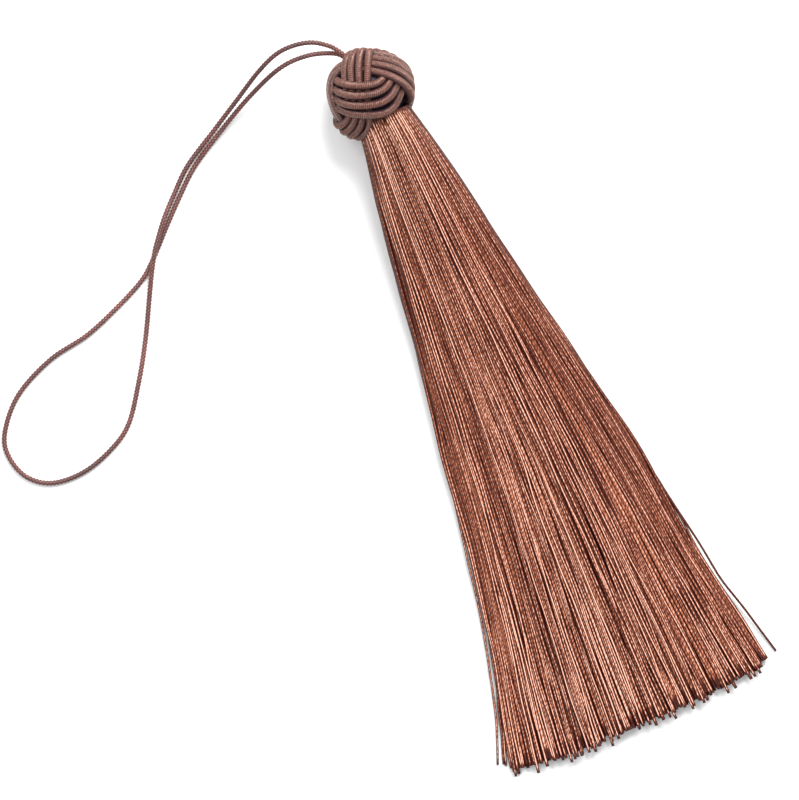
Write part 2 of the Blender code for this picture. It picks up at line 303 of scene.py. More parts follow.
def round_tube(tree, curve, spacing, sides, radius, scale=1.0):
    """A tube swept along a curve. It keeps run, the length so far, and around, from 0 to 1."""
    sockets = {"Curve": curve, "Length": spacing}
    curve = place(tree, "GeometryNodeResampleCurve", sockets, mode="LENGTH").outputs[0]
    length = place(tree, "GeometryNodeSplineParameter").outputs["Length"]
    curve = stored(tree, curve, "run", length)
    ring = place(tree, "GeometryNodeCurvePrimitiveCircle", {"Resolution": sides, "Radius": radius}).outputs[0]
    share = place(tree, "GeometryNodeSplineParameter").outputs["Factor"]
    ring = stored(tree, ring, "around", share)
    sockets = {"Curve": curve, "Profile Curve": ring, "Scale": scale, "Fill Caps": True}
    return place(tree, "GeometryNodeCurveToMesh", sockets).outputs[0]


def vector_of(tree, operation, *vectors, output="Vector", **sockets):
    """The result of one Vector Math node."""
    sockets.update(enumerate(vectors))
    return place(tree, "ShaderNodeVectorMath", sockets, operation=operation).outputs[output]


def pressed_in(tree, geometry, mark, relief):
    """The geometry moved in along its normals, not at all where the mark is 1 and by the relief at 0."""
    lowered = sum_of(tree, "SUBTRACT", kept(tree, mark), 1.0)
    normal = place(tree, "GeometryNodeInputNormal").outputs[0]
    offset = vector_of(tree, "SCALE", normal, Scale=sum_of(tree, "MULTIPLY", lowered, relief))
    return place(tree, "GeometryNodeSetPosition", {"Geometry": geometry, "Offset": offset}).outputs[0]


def braid_height(tree, run, around, repeat, strands):
    """From 0 to 1 on strands that run both ways round a cord and pass over and under each other."""
    along = sum_of(tree, "DIVIDE", run, repeat)
    turn = sum_of(tree, "MULTIPLY", around, strands)
    ways = [sum_of(tree, operation, along, turn) for operation in ("ADD", "SUBTRACT")]
    waves = [sum_of(tree, "COSINE", sum_of(tree, "MULTIPLY", way, math.pi)) for way in ways]
    over = sum_of(tree, "MULTIPLY", waves[0], waves[1])
    heights = []
    for wave, side in zip(waves, (0.5, -0.5)):
        crown = sum_of(tree, "MULTIPLY", wave, wave)
        heights.append(sum_of(tree, "MULTIPLY", crown, sum_of(tree, "MULTIPLY_ADD", over, side, 0.5)))
    return sum_of(tree, "MAXIMUM", *heights)


tree, given = started_tree("braided cord", {
    "Ring Spacing": "Float", "Sides": "Int", "Radius": "Float", "Braid Repeat": "Float",
    "Braid Strands": "Float", "Relief": "Float", "Finish": "Material",
})
curve = place(tree, "GeometryNodeMeshToCurve", {"Mesh": given["Guides"]}).outputs[0]
tube = round_tube(tree, curve, given["Ring Spacing"], given["Sides"], given["Radius"])
run = kept(tree, "run")
around = kept(tree, "around")
braid = braid_height(tree, run, around, given["Braid Repeat"], given["Braid Strands"])
tube = stored(tree, tube, "braid", braid)
tube = pressed_in(tree, tube, "braid", given["Relief"])
ended_tree(tree, tube, given["Finish"])
braid_tree = tree


def mark_of(tree, name):
    """A value that was kept on a mesh, as its finish reads it."""
    return place(tree, "ShaderNodeAttribute", attribute_name=name).outputs["Fac"]


def bumped(tree, shader, height, strength, depth):
    """Gives the shader fine relief of that depth."""
    sockets = {"Height": height, "Strength": strength, "Distance": depth}
    tree.links.new(place(tree, "ShaderNodeBump", sockets).outputs[0], shader.inputs["Normal"])


# How fine the cord's mottling and wear are, and how much its colour takes of them and of the braid.
CORD_MOTTLE_SCALE = 900.0
CORD_WEAR_SCALE = 60.0
CORD_BRAID_TONE = 0.85
CORD_MOTTLE_TONE = 0.30
CORD_WEAR_TONE = 0.5
CORD_TONES = (
    (0.28, (0.020, 0.006, 0.007)), (0.66, (0.120, 0.037, 0.032)), (1.0, (0.500, 0.185, 0.140)),
)
CORD_FIBRE_SCALE = 2.2
CORD_FIBRE_BEND = 1.0
CORD_FIBRE_DEPTH = 0.04 * MM

cord_finish, tree, shader = finish_named("hanging cord satin")
spot = place(tree, "ShaderNodeTexCoord").outputs["Object"]
mottle = noise_of(tree, spot, CORD_MOTTLE_SCALE, detail=2.0)
wear = sum_of(tree, "SUBTRACT", noise_of(tree, spot, CORD_WEAR_SCALE, detail=1.0), 0.5)
mixed = sum_of(tree, "MULTIPLY", mark_of(tree, "braid"), CORD_BRAID_TONE)
mixed = sum_of(tree, "MULTIPLY_ADD", mottle, CORD_MOTTLE_TONE, mixed)
mixed = sum_of(tree, "MULTIPLY_ADD", wear, CORD_WEAR_TONE, mixed)
coloured(tree, shader, mixed, CORD_TONES)
run_mm = sum_of(tree, "MULTIPLY", mark_of(tree, "run"), 1 / MM)
place_on_cord = place(tree, "ShaderNodeCombineXYZ", {"X": run_mm, "Y": mark_of(tree, "around")}).outputs[0]
fibre = place(tree, "ShaderNodeTexWave", {
    "Vector": place_on_cord, "Scale": CORD_FIBRE_SCALE, "Distortion": CORD_FIBRE_BEND,
}, wave_type="BANDS").outputs["Fac"]
bumped(tree, shader, fibre, strength=0.25, depth=CORD_FIBRE_DEPTH)
all_over(shader, {
    "Roughness": 0.45, "Sheen Weight": 0.12, "Sheen Roughness": 0.4, "Sheen Tint": (0.9, 0.6, 0.5, 1.0),
})

cord_line = smooth_route(CORD_ROUTE)
hanging_cord = grown("hanging_cord_braid", guide_lines("cord route", [cord_line]), braid_tree, {
    "Ring Spacing": CORD_RING, "Sides": CORD_SIDES, "Radius": BRAID_RADIUS, "Braid Repeat": BRAID_REPEAT,
    "Braid Strands": BRAID_STRANDS_EACH_WAY, "Relief": BRAID_RELIEF, "Finish": cord_finish,
})
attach(hanging_cord, "root")
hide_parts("hanging_cord")


# ---------------------------------------------------------------------------------------------------
# Ball knot. A round satin cord of twilled yarn, woven over a firm core in a knot of three leads and five
# bights. It has four passes side by side, so that it lies in bands of four.
# ---------------------------------------------------------------------------------------------------
BALL_Z = 9.6 * MM
KNOT_RADIUS = 8.5 * MM
KNOT_CORD = 1.98 * MM
KNOT_LEADS = 3
KNOT_BIGHTS = 5
KNOT_PASSES = 4
KNOT_STEPS = 900
KNOT_RING = 0.1 * MM
KNOT_SIDES = 10
WEAVE_DEPTH = 0.8 * MM
TWILL_REPEAT = 0.42 * MM
TWILL_STRANDS = 2.0
TWILL_RELIEF = 0.16 * MM

# Which way the knot's pole points, and how far the knot is turned about it.
KNOT_POLE = Vector((-0.191, 0.862, -0.470)).normalized()
KNOT_PHASE = 0.517

# How far the bights reach to both sides of the knot's equator, how round they are, and how far they are all
# pushed towards the pole.
BIGHT_LATITUDE = math.radians(48.56)
BIGHT_ROUNDING = math.radians(-1.88)
BIGHT_OFFSET = math.radians(2.15)

# The angle between passes of the cord, how much of it is taken up where a band goes under and given back
# where it goes over, and how far the passes lean where the band slants.
PASS_ANGLE = math.radians(11.15)
PASS_SPREAD = 0.086
PASS_LEAN = 0.606

ball_middle = Vector((0, BALL_Y, BALL_Z))

# Where hand tying pulls the bands out of line: a direction from the ball's middle, and the pull there.
PULL_REACH = 0.5
KNOT_PULLS = (
    ((-0.01, -0.33, 0.94), (0.019, 0.073, -0.059)),
    ((-0.36, 0.42, 0.83), (0.004, -0.069, -0.014)),
    ((0.69, -0.09, 0.72), (0.016, 0.083, -0.240)),
    ((-0.65, -0.46, 0.61), (-0.038, -0.036, -0.095)),
    ((0.18, 0.85, 0.50), (0.004, 0.018, -0.080)),
    ((0.46, -0.80, 0.39), (0.060, 0.041, -0.348)),
    ((-0.92, 0.28, 0.28), (0.043, 0.010, -0.139)),
    ((0.89, 0.42, 0.17), (-0.009, 0.049, -0.067)),
    ((-0.38, -0.92, 0.06), (-0.170, 0.105, -0.035)),
    ((-0.78, -0.56, -0.28), (0.030, -0.180, -0.080)),
    ((-0.35, 0.94, -0.06), (0.019, 0.061, -0.088)),
    ((0.88, -0.45, -0.17), (0.007, 0.013, -0.039)),
    ((-0.93, -0.25, -0.28), (-0.028, 0.064, -0.037)),
    ((0.49, 0.78, -0.39), (-0.014, 0.007, -0.024)),
)

# Where the bands stand out further than a ball: a direction from the middle, and how far, in mm.
SWELL_REACH = 0.3
KNOT_SWELLS = (
    ((-0.70, -0.71, 0.0), 1.2), ((-0.93, -0.35, -0.1), 0.8),
    ((0.99, 0.13, 0.0), 0.4), ((-0.20, 0.97, 0.1), 0.3),
)


def nearness(direction, spot_on_ball, reach):
    """One where the direction meets the spot on the ball, and less and less away from it."""
    return math.exp((direction.dot(Vector(spot_on_ball)) - 1) / reach**2)


def knot_direction(phase, shift):
    """Direction from the ball's middle of a cord that runs a shift to the left of its band's middle."""
    east = KNOT_POLE.cross(Vector((0, 0, 1))).normalized()
    quarter_on = KNOT_POLE.cross(east)
    shift *= 1 - PASS_SPREAD * math.sin(2 * phase)
    latitude = BIGHT_LATITUDE * math.cos(phase) + BIGHT_ROUNDING * math.cos(3 * phase) + BIGHT_OFFSET + shift
    turn = phase * KNOT_LEADS / KNOT_BIGHTS + KNOT_PHASE + shift * PASS_LEAN * math.sin(phase)
    level = math.cos(turn) * east + math.sin(turn) * quarter_on
    direction = math.cos(latitude) * level + math.sin(latitude) * KNOT_POLE
    pulled = direction.copy()
    for spot_on_ball, pull in KNOT_PULLS:
        pulled += nearness(direction, spot_on_ball, PULL_REACH) * Vector(pull)
    return pulled.normalized()


def knot_lines():
    """The middle line of each of the cord's passes, flattened where it would be under the table.

    Each is closed on itself here. The real cord runs on from one pass to the next, where it doesn't show.
    """
    lines = []
    for number in range(KNOT_PASSES):
        shift = (number - (KNOT_PASSES - 1) / 2) * PASS_ANGLE
        line = []
        for step in range(KNOT_STEPS):
            phase = 2 * math.pi * KNOT_BIGHTS * step / KNOT_STEPS
            radius = KNOT_RADIUS - WEAVE_DEPTH * math.sin(2 * phase)
            direction = knot_direction(phase, shift)
            for spot_on_ball, extra_mm in KNOT_SWELLS:
                radius += nearness(direction, spot_on_ball, SWELL_REACH) * extra_mm * MM
            point = ball_middle + radius * direction
            point.z = max(point.z, KNOT_CORD / 2)
            line.append(point)
        lines.append(np.array(line))
    return lines


tree, given = started_tree("knot cord", {
    "Ring Spacing": "Float", "Sides": "Int", "Radius": "Float", "Twill Repeat": "Float",
    "Twill Strands": "Float", "Relief": "Float", "Ball Middle": "Vector", "Finish": "Material",
})
curve = place(tree, "GeometryNodeMeshToCurve", {"Mesh": given["Guides"]}).outputs[0]
tube = round_tube(tree, curve, given["Ring Spacing"], given["Sides"], given["Radius"])
along = sum_of(tree, "DIVIDE", kept(tree, "run"), given["Twill Repeat"])
slant = sum_of(tree, "MULTIPLY_ADD", kept(tree, "around"), given["Twill Strands"], along)
wave = sum_of(tree, "SINE", sum_of(tree, "MULTIPLY", slant, 2 * math.pi))
tube = stored(tree, tube, "twill", sum_of(tree, "MULTIPLY_ADD", wave, 0.5, 0.5))
# The outer mark: how far the surface faces out from the ball's middle. The finish paints shade into the
# grooves between cords from it.
spot = place(tree, "GeometryNodeInputPosition").outputs[0]
normal = place(tree, "GeometryNodeInputNormal").outputs[0]
outward = vector_of(tree, "NORMALIZE", vector_of(tree, "SUBTRACT", spot, given["Ball Middle"]))
tube = stored(tree, tube, "outer", vector_of(tree, "DOT_PRODUCT", outward, normal, output="Value"))
tube = pressed_in(tree, tube, "twill", given["Relief"])
ended_tree(tree, tube, given["Finish"])
twill_tree = tree


def stretched(tree, value, low, high, least=0.0):
    """The value spread out from the least at low to one at high, and held between the two."""
    sockets = {"Value": value, "From Min": low, "From Max": high, "To Min": least}
    return place(tree, "ShaderNodeMapRange", sockets).outputs[0]


# How fine the yarn's grain is, how much of the grain and the twill the colour takes, and how far painted
# shade darkens the colour from the top of each cord down into the grooves between cords.
GRAIN_SCALE = 2200.0
GRAIN_RANGE = (0.36, 0.64)
GRAIN_TONE = 0.34
TWILL_TONE = 0.70
CREST_RANGE = (0.25, 0.92)
GROOVE_SHADE = 0.20
KNOT_TONES = (
    (0.10, (0.050, 0.024, 0.027)), (0.5, (0.076, 0.028, 0.023)), (0.9, (0.250, 0.097, 0.068)),
)
GRAIN_HEIGHT = 0.35
YARN_DEPTH = 0.11 * MM

knot_finish, tree, shader = finish_named("knot cord satin")
twill = mark_of(tree, "twill")
spot = place(tree, "ShaderNodeTexCoord").outputs["Object"]
grain = stretched(tree, noise_of(tree, spot, GRAIN_SCALE, detail=2.0), *GRAIN_RANGE)
# Painted shade: the colour darkens down each cord's sides into the grooves between cords.
groove_shade = stretched(tree, mark_of(tree, "outer"), *CREST_RANGE, GROOVE_SHADE)
mixed = sum_of(tree, "MULTIPLY_ADD", grain, GRAIN_TONE, sum_of(tree, "MULTIPLY", twill, TWILL_TONE))
coloured(tree, shader, sum_of(tree, "MULTIPLY", mixed, groove_shade), KNOT_TONES)
yarn = sum_of(tree, "MULTIPLY_ADD", grain, GRAIN_HEIGHT, twill)
bumped(tree, shader, yarn, strength=0.8, depth=YARN_DEPTH)
all_over(shader, {
    "Roughness": 0.16, "IOR": 1.43, "Specular IOR Level": 1.0, "Specular Tint": (1.0, 0.72, 0.60, 1.0),
})

knot = grown("ball_knot_cord", guide_lines("knot route", knot_lines(), closed=True), twill_tree, {
    "Ring Spacing": KNOT_RING, "Sides": KNOT_SIDES, "Radius": KNOT_CORD / 2, "Twill Repeat": TWILL_REPEAT,
    "Twill Strands": TWILL_STRANDS, "Relief": TWILL_RELIEF, "Ball Middle": ball_middle,
    "Finish": knot_finish,
})
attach(knot, "root")
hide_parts("ball_knot")

# The core under the knot, which barely shows. It is taken as a ball of dark wound thread.
CORE_RADIUS = 7.7 * MM
CORE_FINENESS = 5
WINDING_UP = 9.0
WINDING_ACROSS = 2.0
WINDING_RELIEF = 0.002
FUZZ_SCALE = 1600.0
FUZZ_DEPTH = 0.03 * MM
CORE_TONES = ((0.3, (0.014, 0.011, 0.020)), (0.7, (0.025, 0.020, 0.033)))

core_finish, tree, shader = finish_named("wound core")
spot = place(tree, "ShaderNodeTexCoord").outputs["Object"]
fuzz = noise_of(tree, spot, FUZZ_SCALE, detail=3.0)
coloured(tree, shader, fuzz, CORE_TONES)
bumped(tree, shader, fuzz, strength=0.2, depth=FUZZ_DEPTH)
all_over(shader, {"Roughness": 0.25, "Specular IOR Level": 0.06})

core_shape = bmesh.new()
bmesh.ops.create_icosphere(core_shape, subdivisions=CORE_FINENESS, radius=CORE_RADIUS)
for corner in core_shape.verts:
    winding = math.sin(corner.co.z / MM * WINDING_UP + corner.co.x / MM * WINDING_ACROSS)
    corner.co *= 1.0 + WINDING_RELIEF * winding
    corner.co += ball_middle
core = made_piece("ball_knot_core", core_shape, core_finish)
core.data.shade_smooth()
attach(core, "root")
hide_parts("ball_knot")


# ---------------------------------------------------------------------------------------------------
# Skirt. Some hundreds of copper-brown silk threads, each twisted from two plies. They are bound at the
# neck inside the ball and cut to about one length, and have spread by lying on the table.
# ---------------------------------------------------------------------------------------------------
SKIRT_START = 6.0 * MM
SKIRT_REACH = 156.9 * MM
THREAD_WIDTH = 0.70 * MM
GUIDE_STEP = 2.5 * MM
GUIDE_STOPS = 61

# The outline of the skirt across its run: reach, half width, height of the middle, half height, and how far
# the middle lies to the right, in mm.
SKIRT_SECTIONS_MM = (
    (5.0, 6.2, 9.5, 6.2, 0.3),
    (13.0, 7.7, 8.7, 6.2, 0.75),
    (24.0, 9.9, 7.2, 5.6, 0.75),
    (45.0, 13.3, 4.3, 4.6, 0.9),
    (75.0, 18.5, 2.3, 3.8, 1.3),
    (90.0, 21.2, 1.9, 3.55, 1.45),
    (110.0, 24.9, 1.4, 3.2, 1.1),
    (135.0, 29.2, 1.1, 2.7, 0.3),
    (158.0, 32.9, 0.9, 2.1, -0.35),
)

# How far the skirt's left and right edges draw in where threads have come away from them: reach, left, right.
EDGE_TUCKS_MM = (
    (88.0, 0.0, 0.0),
    (98.0, 1.3, 0.0),
    (104.0, 1.8, 0.5),
    (110.0, 1.8, 1.0),
    (120.0, 1.7, 1.7),
    (128.0, 1.75, 1.4),
    (133.0, 1.35, 0.8),
    (141.0, 0.75, 0.9),
    (147.0, 0.2, 0.6),
    (158.0, 0.0, -0.4),
)
TUCK_FADE = 5
TUCK_SMOOTHING_MM = (-5.0, -2.5, 0.0, 2.5, 5.0)
OUTLINE_STOPS = 361


def skirt_section(reach):
    """Half width, height of the middle, half height and shift to the right of the outline at a reach."""
    table = np.array(SKIRT_SECTIONS_MM) * MM
    return [np.interp(reach, table[:, 0], table[:, column]) for column in (1, 2, 3, 4)]


def edge_tucks(reach):
    """How far the left and the right edge draw in at a reach."""
    table = np.array(EDGE_TUCKS_MM) * MM
    nearby = reach + np.array(TUCK_SMOOTHING_MM) * MM
    return [np.interp(nearby, table[:, 0], table[:, column]).mean() for column in (1, 2)]


def skirt_points(reach, places, inset, floor):
    """x and height of points at these shares of the way round the outline, from the lowest on."""
    half_width, middle, half_height, shift = skirt_section(reach)
    left_tuck, right_tuck = edge_tucks(reach)
    angle = np.linspace(-math.pi / 2, 3 * math.pi / 2, OUTLINE_STOPS)
    x = (half_width - inset) * np.cos(angle)
    z = np.maximum(middle + (half_height - inset) * np.sin(angle), floor)
    run = np.concatenate([[0], np.cumsum(np.hypot(np.diff(x), np.diff(z)))])
    x, z = [np.interp(places * run[-1], run, values) for values in (x, z)]
    outer = np.abs(x / half_width) ** TUCK_FADE
    return shift + x - np.where(x > 0, right_tuck, -left_tuck) * outer, z, run[-1]


# How far threads lie out of their own lanes at the neck and at the ends, in lanes. One in three crosses its
# neighbours: how many lanes, how late along its run, and how much higher it lies, in layers. All of them end
# at least a part of a lane inside the skirt's edge.
START_JITTER = 0.25
END_JITTER = 0.5
ONE_CROSSES_IN = 3
CROSS_LANES = (1.5, 5.0)
CROSS_BEND = 1.3
CROSS_LIFT = 0.3
EDGE_LANES = 0.2

# How threads draw together in clumps: how far, and how many threads wide a clump is. Clumps slide along the
# run and fade towards the ends, and each thread weaves a little of its own.
CLUMPS = ((0.28, 13), (0.14, 6.1), (0.09, 3.7))
CLUMP_FADE = 0.3
ANY_PHASE = 6.28
MOST_SLIDE = 12
WEAVE_LANES = 0.3
WEAVE_PACE = 1.3

# How threads are dealt out to the layers at the neck: the turn from one thread to the next, how full the top
# layer is packed, how gently it leads to the one below, how thick a layer is, and how far a thread rises and
# sinks within its own, in layers.
LAYER_TURN = 0.618
LAYER_FILL = 1.1
LAYER_BLEND = 0.25
LAYER_DEPTH = 0.45 * MM
LOOSE_DEPTH = 0.5

# How deep in painted shade threads are coloured, counted in layers of thread over them: for each real layer,
# and how much of that is gone at the ends, then by both edges, on the right and the left half with how soon
# those begin, at the left of the neck, and all over. The neck and the ends are painted lighter by that many
# layers.
LAYER_SHADE = 1.6
END_EVENS = 0.5
SIDE_SHADE = 1.4
RIGHT_SHADE = 0.55
LEFT_SHADE = 0.7
HALF_SLOPE = 3
LEFT_START = 0.8
NECK_SHADE = 2.4
BODY_SHADE = -0.05
NECK_LIGHT = 2.0
END_LIGHT = 1.3

# How unevenly the threads are cut, and how much shorter they are at the skirt's two edges.
UNEVEN_END = 2.1 * MM
UNDER_END = 2.0 * MM
UNDER_UNEVEN = 1.0 * MM
EDGE_END_DROP = 2.9 * MM

# The angle from upwards past which the skirt's outside is its underside.
UNDERSIDE_FROM = math.radians(100)


def thread_lines(count, place_from, place_to, inset, layers, spin):
    """Lines of threads side by side down the skirt, in layers at the neck that open out into one.

    Gives each line's points, how much shorter it is cut, how deep in painted shade each point is coloured, in
    layers, and for points on the underside the angle from upwards at which the skirt faces there.
    """
    chance = random.Random(spin)
    reaches = np.linspace(SKIRT_START, SKIRT_REACH, GUIDE_STOPS)
    number = np.arange(count)
    start = number + 0.5 + np.array([chance.uniform(-START_JITTER, START_JITTER) for _ in number])
    end = number + 0.5 + np.array([chance.uniform(-END_JITTER, END_JITTER) for _ in number])
    lift = np.zeros(count)
    for crosser in chance.sample(range(count), count // ONE_CROSSES_IN if layers > 1 else 0):
        end[crosser] += chance.choice((-1, 1)) * chance.uniform(*CROSS_LANES)
        lift[crosser] = CROSS_LIFT
    end = np.clip(end, EDGE_LANES, count - EDGE_LANES)
    clumps = []
    for size, width in CLUMPS:
        phase = chance.uniform(0, ANY_PHASE)
        slide = chance.uniform(-MOST_SLIDE, MOST_SLIDE)
        clumps.append((size, 2 * math.pi / width, phase, slide))
    dive = np.array([chance.uniform(0, ANY_PHASE) for _ in number])
    drift = np.array([chance.uniform(-MOST_SLIDE, MOST_SLIDE) for _ in number])
    weave = np.array([chance.uniform(0, ANY_PHASE) for _ in number])
    order = number * LAYER_TURN % 1.0
    lines = [[] for _ in number]
    sunk = [[] for _ in number]
    faces = [[] for _ in number]
    for reach in reaches:
        share = (reach - SKIRT_START) / (SKIRT_REACH - SKIRT_START)
        lane = start + share**CROSS_BEND * (end - start)
        for size, pace, phase, slide in clumps:
            lane = lane + (1 - CLUMP_FADE * share) * size * np.sin(number * pace + phase + slide * share)
        lane = lane + WEAVE_LANES * share * np.sin(weave + drift * WEAVE_PACE * share)
        places = place_from + (place_to - place_from) * np.clip(lane / count, 0.0, 1.0)
        around = skirt_points(reach, places, inset, THREAD_WIDTH / 2)[2]
        crowd = count * THREAD_WIDTH / ((place_to - place_from) * around)
        rank = 0.5 + 0.5 * np.sin(dive + drift * share)
        side = np.clip(2 * lane / count - 1, -1.0, 1.0)
        right_half = np.clip(-HALF_SLOPE * side, 0, 1)
        left_half = np.clip(HALF_SLOPE * side - LEFT_START, 0, 1)
        # Painted shade and light: darker towards both edges, on the right and the left half and at the left
        # of the neck, lighter at the neck and the ends.
        dim = SIDE_SHADE * np.abs(side) ** 3 + RIGHT_SHADE * right_half
        dim += LEFT_SHADE * left_half
        dim += BODY_SHADE + NECK_SHADE * (1 - share) ** 3 * np.maximum(side, 0) ** 2
        dim -= NECK_LIGHT * (1 - share) ** 5 + END_LIGHT * share**4
        under = np.clip((order - LAYER_FILL / crowd) / LAYER_BLEND + 0.5, 0.0, layers - 1)
        depth = (under + LOOSE_DEPTH * rank - lift) * LAYER_DEPTH
        shade = LAYER_SHADE * (1 - END_EVENS * share**2)
        half_width, middle, half_height, shift = skirt_section(reach)
        for thread in number:
            x, z, _ = skirt_points(reach, places[thread], inset + depth[thread], THREAD_WIDTH / 2)
            lines[thread].append([float(x), BALL_Y - reach, float(z)])
            face = math.atan2((x - shift) / half_width**2, (z - middle) / half_height**2)
            faces[thread].append(face if abs(face) > UNDERSIDE_FROM else 0.0)
            sunk[thread].append(shade * (under[thread] + LOOSE_DEPTH * rank[thread]) + dim[thread])
    widest = SKIRT_SECTIONS_MM[-1][1] * MM
    shorter = []
    for line in lines:
        if layers > 1:
            cut = UNEVEN_END * (1 - chance.random() ** 3)
        else:
            cut = UNDER_END + chance.random() * UNDER_UNEVEN
        shorter.append(EDGE_END_DROP * (abs(line[-1][0]) / widest) ** 4 + cut)
    lines, sunk, faces = [[np.array(line) for line in kind] for kind in (lines, sunk, faces)]
    return lines, shorter, sunk, faces


# Threads that have come away from the skirt's edge: which side, how dim each is painted, in layers of painted
# shade, then where each runs from there on, as seen from above, and its height in mm.
LOOSE_THREADS = (
    (-1, 1.0, (
        (462.3, 540.0, 1.6), (466.6, 560.0, 1.4), (472.6, 586.4, 1.2), (480.7, 624.3, 1.0),
        (487.6, 661.0, 0.9), (491.9, 686.3, 0.8), (495.4, 720.7, 0.7), (496.6, 745.0, 0.6),
        (497.5, 765.0, 0.4),
    )),
    (-1, 1.0, (
        (468.6, 543.0, 1.6), (480.6, 600.0, 1.4), (489.0, 634.8, 1.2), (493.0, 657.8, 1.1),
        (496.9, 680.7, 1.0), (499.1, 709.3, 0.9), (501.7, 734.8, 0.7), (502.8, 753.9, 0.5),
        (503.8, 764.1, 0.4),
    )),
    (-1, 0.6, (
        (470.4, 543.0, 1.8), (482.4, 600.0, 1.6), (490.8, 634.8, 1.4), (494.8, 657.8, 1.3),
        (498.6, 680.7, 1.2), (501.2, 709.3, 1.0), (504.2, 734.8, 0.8), (505.4, 753.9, 0.6),
        (506.8, 765.4, 0.4),
    )),
    (1, 3.5, (
        (696.3, 540.0, 2.0), (704.4, 553.2, 2.0), (710.5, 563.3, 2.0), (721.1, 580.6, 1.8),
        (731.3, 593.8, 1.6), (746.5, 613.0, 1.2), (761.7, 633.3, 0.8), (775.4, 651.1, 0.4),
    )),
    (1, 2.0, (
        (691.7, 540.0, 1.2), (699.9, 553.2, 1.2), (708.0, 565.4, 1.2), (715.0, 575.5, 1.2),
        (723.2, 589.0, 1.1), (742.0, 619.0, 0.9), (761.5, 649.5, 0.4),
    )),
)

# How far before its own route a loose thread leaves the skirt's edge.
LEAVING = 15 * MM


def loose_line(side, route):
    """The line of a thread that follows the skirt's edge, then goes its own way."""
    away = np.array([from_view(*stop) for stop in route])
    leaving = BALL_Y - away[0][1] - LEAVING
    edge = []
    for reach in np.arange(SKIRT_START, leaving, GUIDE_STEP):
        half_width, middle, _, shift = skirt_section(reach)
        x = shift + side * (half_width - THREAD_WIDTH)
        edge.append((x, BALL_Y - reach, max(middle, THREAD_WIDTH / 2)))
    stops = np.vstack([edge, away])
    ways = np.append(np.arange(SKIRT_START, BALL_Y - away[-1][1], GUIDE_STEP), BALL_Y - away[-1][1])
    x, z = [np.interp(ways, BALL_Y - stops[:, 1], stops[:, column]) for column in (0, 2)]
    return np.stack([x, BALL_Y - ways, z], axis=1)


# How threads wander: how far sideways, along and upwards, from what length on in full, and how far apart the
# seeds and the threads are in the noise that steers them. The trim's start and end as lengths are its
# sockets 4 and 5, because its other pair has the same names.
WANDER_LENGTH = 24 * MM
WANDER_SHARES = (1.0, 0.0, 0.35)
WANDER_GROWS = 60 * MM
NOISE_MIDDLE = (0.5, 0.5, 0.5)
SEED_APART = 31.7
THREAD_APART = 7.31
TRIM_START = 4
TRIM_END = 5

tree, given = started_tree("skirt threads", {
    "Ring Spacing": "Float", "Sides": "Int", "Radius": "Float", "Wander": "Float", "Wander Length": "Float",
    "Seed": "Int", "Finish": "Material",
})
curve = place(tree, "GeometryNodeMeshToCurve", {"Mesh": given["Guides"]}).outputs[0]
length = place(tree, "GeometryNodeSplineParameter").outputs["Length"]
whole = place(tree, "GeometryNodeSplineLength").outputs["Length"]
left = sum_of(tree, "SUBTRACT", whole, kept(tree, "shorter"))
sockets = {"Curve": curve, TRIM_START: 0.0, TRIM_END: left}
curve = place(tree, "GeometryNodeTrimCurve", sockets, mode="LENGTH").outputs[0]
far = sum_of(tree, "DIVIDE", length, given["Wander Length"])
lane = sum_of(tree, "MULTIPLY", kept(tree, "number"), THREAD_APART)
lane = sum_of(tree, "MULTIPLY_ADD", given["Seed"], SEED_APART, lane)
spot = place(tree, "ShaderNodeCombineXYZ", {"X": far, "Y": lane}).outputs[0]
sway = place(tree, "ShaderNodeTexNoise", {"Vector": spot, "Scale": 1.0, "Detail": 1.0}).outputs["Color"]
sway = vector_of(tree, "SUBTRACT", sway, NOISE_MIDDLE)
sway = vector_of(tree, "MULTIPLY", sway, WANDER_SHARES)
grow = stretched(tree, length, 0.0, WANDER_GROWS)
sway = vector_of(tree, "SCALE", sway, Scale=sum_of(tree, "MULTIPLY", grow, given["Wander"]))
curve = place(tree, "GeometryNodeSetPosition", {"Geometry": curve, "Offset": sway}).outputs[0]
thickness = kept(tree, "thickness")
tube = round_tube(tree, curve, given["Ring Spacing"], given["Sides"], given["Radius"], thickness)
normal = place(tree, "GeometryNodeInputNormal").outputs[0]
normal = place(tree, "ShaderNodeSeparateXYZ", {0: normal}).outputs
tube = stored(tree, tube, "top", normal["Z"])
tube = stored(tree, tube, "side", normal["X"])
# How far each point faces up, or out from the skirt on its underside. The finish paints shade on the threads'
# sides from it.
upward = sum_of(tree, "MULTIPLY", sum_of(tree, "COSINE", kept(tree, "faces")), normal["Z"])
outward = sum_of(tree, "MULTIPLY_ADD", sum_of(tree, "SINE", kept(tree, "faces")), normal["X"], upward)
tube = stored(tree, tube, "bare", sum_of(tree, "MAXIMUM", normal["Z"], outward))
ended_tree(tree, tube, given["Finish"])
thread_tree = tree

# How fast the silk varies along a thread and from thread to thread, and how fine each thing that varies is:
# the slack in the twist, the blotches, and the flecks, which are painted glints along the threads.
PLIES = 2
PLY_LAY = 2.3 * MM
PLY_DEPTH = 0.09 * MM
SILK_ALONG = 240.0
SILK_ACROSS = 5.3
SLACK_SCALE = 1.0
BLOTCH_SCALE = 3.7
FLECK_SCALE = 7.0
FLECK_RANGE = (0.50, 0.70)
TWIST_SLACK = 22.0
TWIST_APART = 2.4

# How much of each the colour takes, how far round from its open side a thread is darkened with painted shade,
# and how much painted shade each layer over it adds.
PLY_TONE = 0.42
THREAD_TONE = 0.64
BLOTCH_TONE = 0.62
FLECK_TONE = 0.26
FACING_SHADE_RANGE = (0.77, 0.97)
LAYER_DIMS = 0.22
SILK_TONES = (
    (0.08, (0.045, 0.009, 0.007)), (0.38, (0.140, 0.036, 0.019)), (0.62, (0.440, 0.152, 0.086)),
    (0.92, (0.830, 0.465, 0.350)),
)

